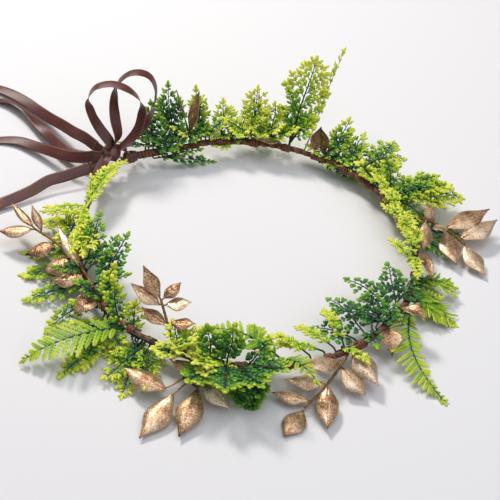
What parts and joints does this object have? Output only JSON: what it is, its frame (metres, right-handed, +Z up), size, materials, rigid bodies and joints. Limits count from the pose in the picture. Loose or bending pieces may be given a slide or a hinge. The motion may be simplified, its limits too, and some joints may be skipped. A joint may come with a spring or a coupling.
{
  "type": "flower crown",
  "caption": "Taped wire head wreath with fern sprigs and gold leaf sprays, its open back tied with a narrow satin ribbon bow.",
  "frame": {"origin": "middle of the head opening, on the surface that the crown lies on", "axes": "+Z up out of the head opening, +Y towards the back ferns and the tall frond, the bow at -X +Y"},
  "size_m": [0.3706, 0.2964, 0.0581],
  "materials": {
    "wire": "bare florist's wire",
    "paper_tape": "reddish-brown waxed crepe paper, spirally wound",
    "satin_ribbon": "dark reddish-brown satin with a soft sheen",
    "gold_stem": "brown-gold moulded stem",
    "gold_leaf": "antique gold paint on thin moulded leaves, speckled",
    "lime_fern": "yellow-green moulded plastic, darker at the stem",
    "green_fern": "green moulded plastic, lighter at the tips"
  },
  "bodies": {
    "crown": {"wire_core": "wire", "tape_wrap": "paper_tape", "tie_tape_right": "paper_tape", "tie_tape_left": "paper_tape", "binding_bands": "paper_tape", "ribbon_hitch_right": "satin_ribbon", "ribbon_hitch_left": "satin_ribbon", "ribbon_knot": "satin_ribbon", "bow_loop_left": "satin_ribbon", "bow_loop_right": "satin_ribbon", "ribbon_tail_1": "satin_ribbon", "ribbon_tail_2": "satin_ribbon", "ribbon_tail_3": "satin_ribbon", "ribbon_tail_4": "satin_ribbon", "loose_gold_leaves": "gold_leaf", "back_fern_1": "green_fern", "back_fern_2": "green_fern", "back_fern_3": "green_fern", "back_fern_4": "lime_fern", "back_fern_5": "green_fern", "back_fern_6": "lime_fern", "back_low_sprigs": "green_fern", "back_under_sprigs": "green_fern", "back_right_sprigs": "green_fern", "back_branch": "lime_fern", "right_fern_1": "lime_fern", "right_fern_2": "green_fern", "right_fern_3": "green_fern", "right_fern_4": "green_fern", "right_fern_5": "green_fern", "right_curls": "lime_fern", "front_inner_sprigs": "green_fern", "front_fern_1": "lime_fern", "front_fern_2": "green_fern", "front_fern_3": "green_fern", "front_small_sprigs": "lime_fern", "arching_frond": "green_fern", "broad_frond": "green_fern", "left_fern_1": "green_fern", "left_fern_2": "green_fern", "left_fern_3": "lime_fern", "left_fern_4": "green_fern", "left_outer_sprigs": "green_fern", "left_low_sprigs": "green_fern", "lime_frond": "lime_fern", "inner_frond": "green_fern"},
    "right_spray": {"right_spray_stem": "gold_stem", "right_spray_leaves": "gold_leaf"},
    "front_right_spray": {"front_right_spray_stem": "gold_stem", "front_right_spray_leaves": "gold_leaf"},
    "front_left_spray": {"front_left_spray_stem": "gold_stem", "front_left_spray_leaves": "gold_leaf"},
    "inner_spray": {"inner_spray_stem": "gold_stem", "inner_spray_leaves": "gold_leaf"},
    "left_spray": {"left_spray_stem": "gold_stem", "left_spray_leaves": "gold_leaf"},
    "back_spray": {"back_spray_stem": "gold_stem", "back_spray_leaves": "gold_leaf"},
    "tall_frond": {"tall_frond": "lime_fern"},
    "trailing_frond": {"trailing_frond": "green_fern"}
  },
  "joints": [
    {"name": "right_spray_bend", "type": "hinge", "parent": "crown", "child": "right_spray", "pos_m": [0.09078, 0.03853, 0.0118], "axis": [-0.4226, -0.9063, 0], "range_deg": [0, 20]},
    {"name": "front_right_spray_bend", "type": "hinge", "parent": "crown", "child": "front_right_spray", "pos_m": [0.0601, -0.07422, 0.0136], "axis": [-0.8572, 0.515, 0], "range_deg": [0, 20]},
    {"name": "front_left_spray_bend", "type": "hinge", "parent": "crown", "child": "front_left_spray", "pos_m": [-0.01721, -0.09759, 0.01], "axis": [-0.7986, 0.6018, 0], "range_deg": [0, 12]},
    {"name": "inner_spray_bend", "type": "hinge", "parent": "crown", "child": "inner_spray", "pos_m": [-0.03187, -0.08757, 0.01276], "axis": [0.8829, 0.4695, 0], "range_deg": [-12, 15]},
    {"name": "left_spray_bend", "type": "hinge", "parent": "crown", "child": "left_spray", "pos_m": [-0.07917, -0.0534, 0.0136], "axis": [0.7193, 0.6947, 0], "range_deg": [0, 20]},
    {"name": "back_spray_bend", "type": "hinge", "parent": "crown", "child": "back_spray", "pos_m": [-0.04265, 0.08745, 0.01312], "axis": [0.766, 0.6428, 0], "range_deg": [-8, 8]},
    {"name": "tall_frond_bend", "type": "hinge", "parent": "crown", "child": "tall_frond", "pos_m": [0.01857, 0.09551, 0.01312], "axis": [0.9205, -0.3907, 0], "range_deg": [-12, 8]},
    {"name": "trailing_frond_bend", "type": "hinge", "parent": "crown", "child": "trailing_frond", "pos_m": [0.09177, -0.03708, 0.00907], "axis": [-0.9613, -0.2756, 0], "range_deg": [0, 12]}
  ]
}
